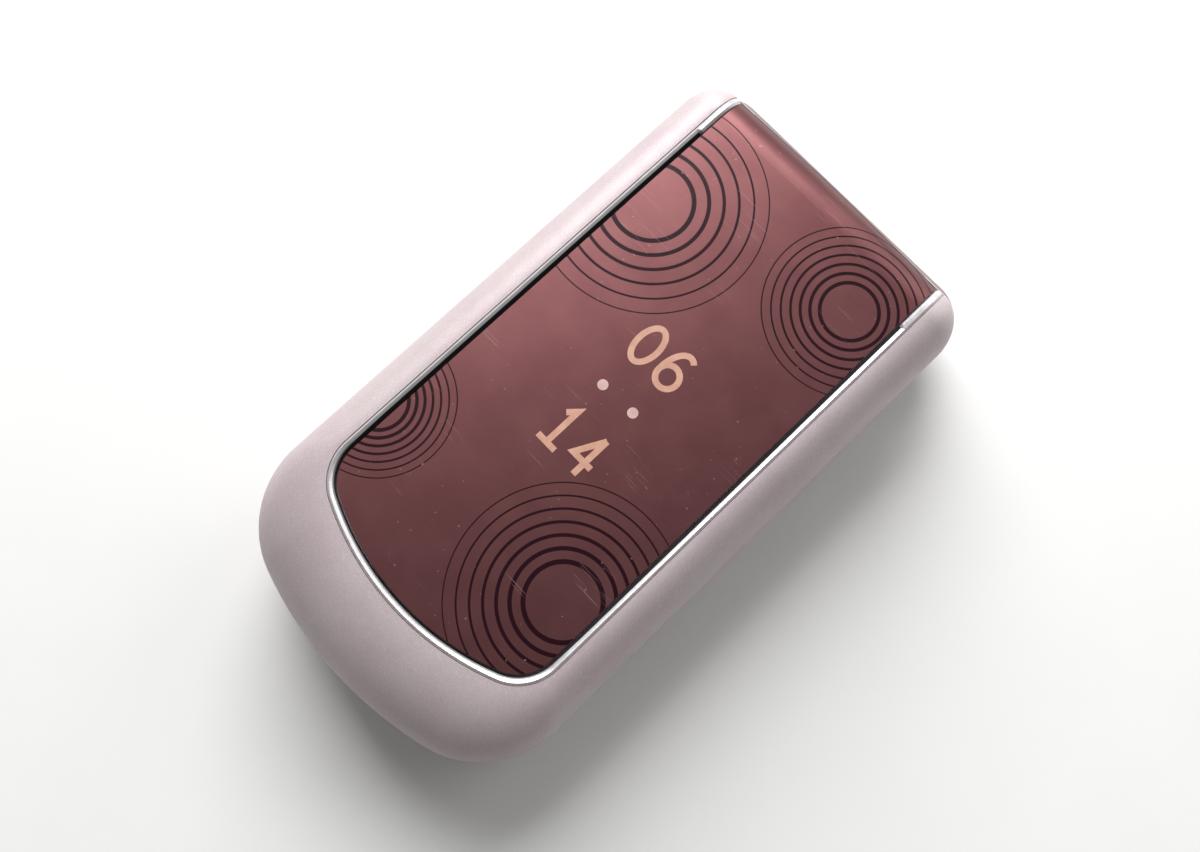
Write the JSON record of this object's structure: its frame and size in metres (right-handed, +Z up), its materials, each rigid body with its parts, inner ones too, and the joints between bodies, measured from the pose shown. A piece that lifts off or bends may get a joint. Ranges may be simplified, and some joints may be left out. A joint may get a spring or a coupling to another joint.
{
  "type": "flip phone",
  "caption": "Clamshell mobile phone with a hinged lid, a wrapped lid window over an outer display, keypad, sliding battery cover and side sockets.",
  "frame": {"origin": "centre of the closed phone's footprint, on the level it lies on", "axes": "+X to the phone's right side, +Y along its length to the hinge, +Z up out of the closed lid"},
  "size_m": [0.048, 0.092, 0.02],
  "materials": {
    "pearl_paint": "satin pearl paint on moulded plastic",
    "window_plastic": "tinted polished plastic with printed lines",
    "trim_metal": "bright plating",
    "inner_plastic": "fine moulded texture",
    "lens_glass": "clear polished",
    "display_black": "dark display glass in a frame",
    "board_green": "solder-masked laminate",
    "module_black": "moulded black",
    "soft_rubber": "soft moulded",
    "bright_steel": "plain machined or pressed",
    "socket_black": "moulded black with plated contacts",
    "flex_amber": "thin polyimide film",
    "battery_wrap": "plain printed wrap over metal",
    "gold_plate": "gold plated spring contacts",
    "card_white": "plain card",
    "key_plastic": "painted translucent keys"
  },
  "bodies": {
    "base": {"antenna": "module_black", "base_screws": "bright_steel", "battery": "battery_wrap", "battery_contacts": "gold_plate", "camera_module": "module_black", "camera_window": "lens_glass", "card_holders": "module_black", "charger_socket": "socket_black", "data_socket": "bright_steel", "flash_lamp": "lens_glass", "headset_socket": "socket_black", "hinge_flex": "flex_amber", "hinge_follower": "bright_steel", "hinge_housing": "bright_steel", "hinge_spring": "bright_steel", "key_dome_sheet": "flex_amber", "keypad_housing": "pearl_paint", "loudspeaker": "module_black", "main_circuit_board": "board_green", "microphone": "module_black", "rear_housing": "pearl_paint", "shield_cans": "bright_steel", "sim_card": "card_white", "vibration_motor": "bright_steel"},
    "lid": {"lid_outer_shell": "pearl_paint", "lid_window": "window_plastic", "window_trim": "trim_metal", "lid_inner_cover": "inner_plastic", "main_display_lens": "lens_glass", "main_display": "display_black", "lid_circuit_board": "board_green", "outer_display": "display_black", "earpiece_speaker": "module_black", "earpiece_grille": "trim_metal", "lid_bumpers": "soft_rubber", "lid_screws": "bright_steel", "hinge_shaft": "bright_steel", "hinge_pin": "bright_steel"},
    "battery_cover": {"battery_cover": "pearl_paint"},
    "volume_rocker": {"volume_rocker": "inner_plastic"},
    "vibrator_weight": {"vibrator_weight": "bright_steel"},
    "nav_backing": {"nav_backing": "inner_plastic"},
    "nav_ring": {"nav_ring": "trim_metal"},
    "key_1": {"key_1": "key_plastic"},
    "key_2": {"key_2": "key_plastic"},
    "key_3": {"key_3": "key_plastic"},
    "key_4": {"key_4": "key_plastic"},
    "key_5": {"key_5": "key_plastic"},
    "key_6": {"key_6": "key_plastic"},
    "key_7": {"key_7": "key_plastic"},
    "key_8": {"key_8": "key_plastic"},
    "key_9": {"key_9": "key_plastic"},
    "key_star": {"key_star": "key_plastic"},
    "key_0": {"key_0": "key_plastic"},
    "key_hash": {"key_hash": "key_plastic"},
    "call_key": {"call_key": "key_plastic"},
    "end_key": {"end_key": "key_plastic"},
    "left_soft_key": {"left_soft_key": "key_plastic"},
    "right_soft_key": {"right_soft_key": "key_plastic"},
    "select_key": {"select_key": "key_plastic"}
  },
  "joints": [
    {"name": "lid_hinge", "type": "hinge", "parent": "base", "child": "lid", "pos_m": [0, 0.0376, 0.014], "axis": [-1, 0, 0], "range_deg": [0, 160]},
    {"name": "cover_slide", "type": "slide", "parent": "base", "child": "battery_cover", "axis": [0, -1, 0], "range_m": [0, 0.006]},
    {"name": "key_1_press", "type": "slide", "parent": "base", "child": "key_1", "axis": [0, 0, -1], "range_m": [0, 0.00025], "stiffness_N_per_m": 2500},
    {"name": "key_2_press", "type": "slide", "parent": "base", "child": "key_2", "axis": [0, 0, -1], "range_m": [0, 0.00025], "stiffness_N_per_m": 2500},
    {"name": "key_3_press", "type": "slide", "parent": "base", "child": "key_3", "axis": [0, 0, -1], "range_m": [0, 0.00025], "stiffness_N_per_m": 2500},
    {"name": "key_4_press", "type": "slide", "parent": "base", "child": "key_4", "axis": [0, 0, -1], "range_m": [0, 0.00025], "stiffness_N_per_m": 2500},
    {"name": "key_5_press", "type": "slide", "parent": "base", "child": "key_5", "axis": [0, 0, -1], "range_m": [0, 0.00025], "stiffness_N_per_m": 2500},
    {"name": "key_6_press", "type": "slide", "parent": "base", "child": "key_6", "axis": [0, 0, -1], "range_m": [0, 0.00025], "stiffness_N_per_m": 2500},
    {"name": "key_7_press", "type": "slide", "parent": "base", "child": "key_7", "axis": [0, 0, -1], "range_m": [0, 0.00025], "stiffness_N_per_m": 2500},
    {"name": "key_8_press", "type": "slide", "parent": "base", "child": "key_8", "axis": [0, 0, -1], "range_m": [0, 0.00025], "stiffness_N_per_m": 2500},
    {"name": "key_9_press", "type": "slide", "parent": "base", "child": "key_9", "axis": [0, 0, -1], "range_m": [0, 0.00025], "stiffness_N_per_m": 2500},
    {"name": "key_star_press", "type": "slide", "parent": "base", "child": "key_star", "axis": [0, 0, -1], "range_m": [0, 0.00025], "stiffness_N_per_m": 2500},
    {"name": "key_0_press", "type": "slide", "parent": "base", "child": "key_0", "axis": [0, 0, -1], "range_m": [0, 0.00025], "stiffness_N_per_m": 2500},
    {"name": "key_hash_press", "type": "slide", "parent": "base", "child": "key_hash", "axis": [0, 0, -1], "range_m": [0, 0.00025], "stiffness_N_per_m": 2500},
    {"name": "call_key_press", "type": "slide", "parent": "base", "child": "call_key", "axis": [0, 0, -1], "range_m": [0, 0.00025], "stiffness_N_per_m": 2500},
    {"name": "end_key_press", "type": "slide", "parent": "base", "child": "end_key", "axis": [0, 0, -1], "range_m": [0, 0.00025], "stiffness_N_per_m": 2500},
    {"name": "left_soft_key_press", "type": "slide", "parent": "base", "child": "left_soft_key", "axis": [0, 0, -1], "range_m": [0, 0.00025], "stiffness_N_per_m": 2500},
    {"name": "right_soft_key_press", "type": "slide", "parent": "base", "child": "right_soft_key", "axis": [0, 0, -1], "range_m": [0, 0.00025], "stiffness_N_per_m": 2500},
    {"name": "select_key_press", "type": "slide", "parent": "base", "child": "select_key", "axis": [0, 0, -1], "range_m": [0, 0.00025], "stiffness_N_per_m": 2500},
    {"name": "nav_tilt_y", "type": "hinge", "parent": "base", "child": "nav_backing", "pos_m": [0, 0.0192, 0.0092], "axis": [1, 0, 0], "range_deg": [-0.8, 0.8], "stiffness_Nm_per_rad": 2},
    {"name": "nav_tilt_x", "type": "hinge", "parent": "nav_backing", "child": "nav_ring", "pos_m": [0, 0.0192, 0.0092], "axis": [0, 1, 0], "range_deg": [-0.8, 0.8], "stiffness_Nm_per_rad": 2},
    {"name": "volume_rock", "type": "hinge", "parent": "base", "child": "volume_rocker", "pos_m": [-0.023, 0.015, 0.0083], "axis": [0, 0, 1], "range_deg": [-2, 2], "stiffness_Nm_per_rad": 2},
    {"name": "motor_spin", "type": "hinge", "parent": "base", "child": "vibrator_weight", "pos_m": [-0.017, 0.025, 0.0042], "axis": [0, 1, 0], "continuous": true}
  ]
}
